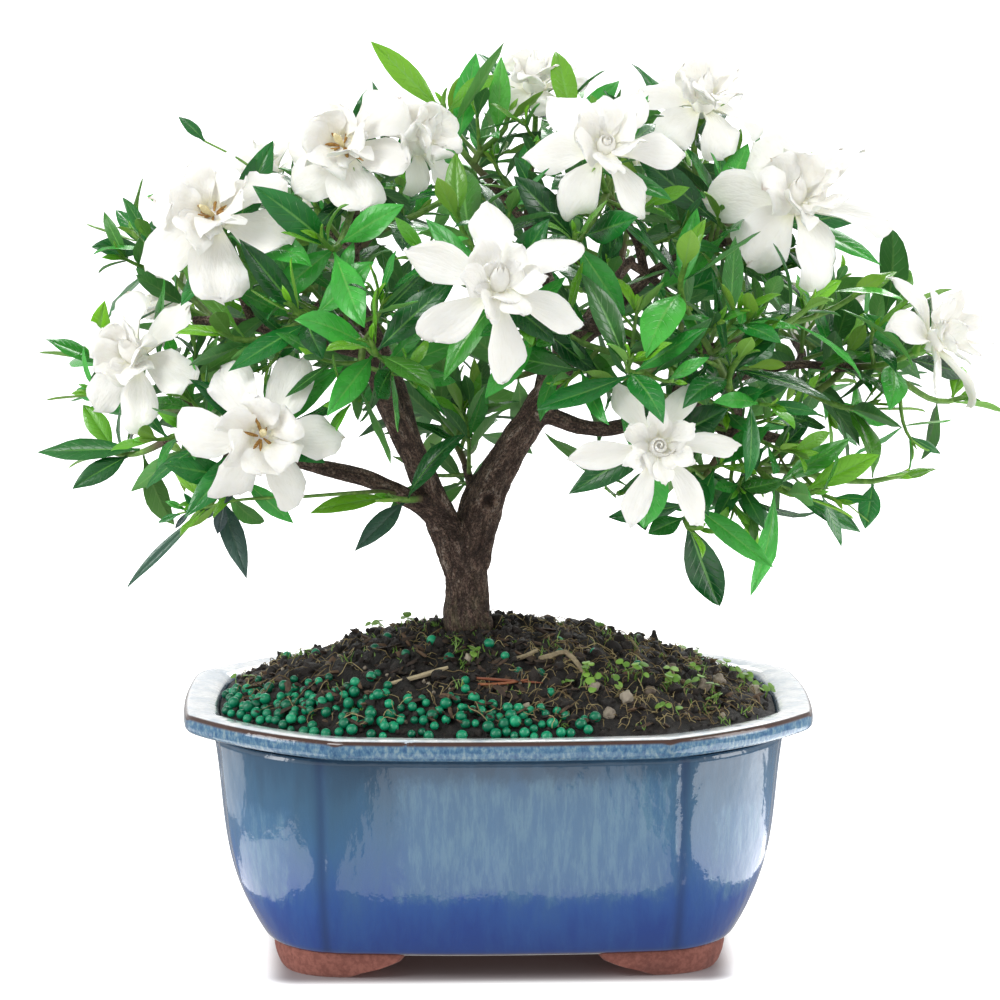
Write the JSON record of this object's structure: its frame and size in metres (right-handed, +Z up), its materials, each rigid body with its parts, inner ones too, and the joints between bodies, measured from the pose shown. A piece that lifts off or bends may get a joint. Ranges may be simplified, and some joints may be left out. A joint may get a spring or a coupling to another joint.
{
  "type": "potted flowering bonsai shrub",
  "caption": "Small flowering bonsai shrub with a forked trunk, glossy leaves and white blooms, planted in a glazed footed pot.",
  "frame": {"origin": "on the ground, under the middle of the plant's whole outline", "axes": "+Z up, -Y towards the viewer in front of the pot's long side, +X along the pot's length to the viewer's right"},
  "size_m": [0.316, 0.232, 0.2931],
  "materials": {
    "blue_glaze": "gloss",
    "potting_soil": "matte",
    "green_prills": "gloss",
    "black_plastic": "matte",
    "bark": "matte",
    "leaf": "satin",
    "petal": "matte"
  },
  "bodies": {
    "root": {"bloom_01": "petal", "bloom_02": "petal", "bloom_03": "petal", "bloom_04": "petal", "bloom_05": "petal", "bloom_06": "petal", "bloom_07": "petal", "bloom_08": "petal", "bloom_09": "petal", "bloom_10": "petal", "bloom_11": "petal", "bloom_12": "petal", "bloom_13": "petal", "bloom_14": "petal", "bloom_15": "petal", "bloom_16": "petal", "bloom_17": "petal", "drain_screen_left": "black_plastic", "drain_screen_right": "black_plastic", "fertiliser_beads": "green_prills", "pot": "blue_glaze", "soil": "potting_soil", "spray_01": "leaf", "spray_02": "leaf", "spray_03": "leaf", "spray_04": "leaf", "spray_05": "leaf", "spray_06": "leaf", "spray_07": "leaf", "spray_08": "leaf", "spray_09": "leaf", "spray_10": "leaf", "spray_11": "leaf", "spray_12": "leaf", "spray_13": "leaf", "spray_14": "leaf", "spray_15": "leaf", "spray_16": "leaf", "spray_17": "leaf", "spray_18": "leaf", "spray_19": "leaf", "spray_20": "leaf", "spray_21": "leaf", "spray_22": "leaf", "spray_23": "leaf", "spray_24": "leaf", "spray_25": "leaf", "spray_26": "leaf", "spray_27": "leaf", "spray_28": "leaf", "spray_29": "leaf", "spray_30": "leaf", "spray_31": "leaf", "spray_32": "leaf", "spray_33": "leaf", "spray_34": "leaf", "spray_35": "leaf", "spray_36": "leaf", "spray_37": "leaf", "trunk": "bark"}
  },
  "joints": []
}
